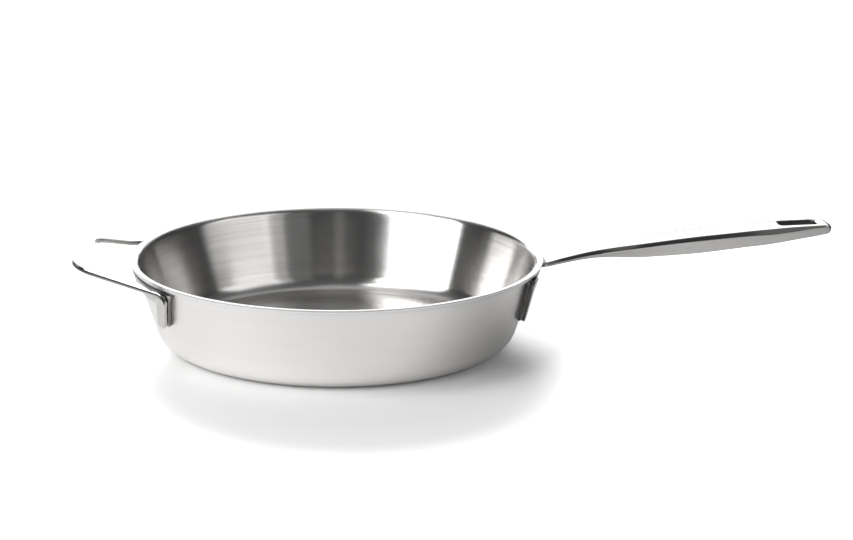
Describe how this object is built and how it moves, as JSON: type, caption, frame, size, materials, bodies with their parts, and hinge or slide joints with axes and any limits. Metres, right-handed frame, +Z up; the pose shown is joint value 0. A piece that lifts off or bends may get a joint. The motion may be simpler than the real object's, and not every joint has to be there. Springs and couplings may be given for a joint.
{
  "type": "saute pan",
  "caption": "Stainless clad saute pan with straight flared walls, a rolled pouring rim, a hull-shaped long handle with a hanging slot and a flat loop helper handle.",
  "frame": {"origin": "centre of the base's underside, where the pan rests", "axes": "+Z up, +X along the long handle towards its tip, +Y to the left when looking from the pan along the long handle"},
  "size_m": [0.5366, 0.2894, 0.0793],
  "materials": {
    "inner_steel_layer": "fine brushed stainless steel, brushed round the pan",
    "aluminium_core": "plain aluminium core, hidden between the steel layers",
    "outer_steel_layer": "satin stainless steel",
    "long_handle": "mirror-polished stainless steel",
    "long_handle_bracket": "plain pressed stainless steel",
    "helper_handle": "mirror-polished stainless steel",
    "helper_handle_bracket": "plain pressed stainless steel"
  },
  "bodies": {
    "root": {"inner_steel_layer": "inner_steel_layer", "aluminium_core": "aluminium_core", "outer_steel_layer": "outer_steel_layer", "long_handle": "long_handle", "long_handle_bracket": "long_handle_bracket", "helper_handle": "helper_handle", "helper_handle_bracket": "helper_handle_bracket"}
  },
  "joints": []
}
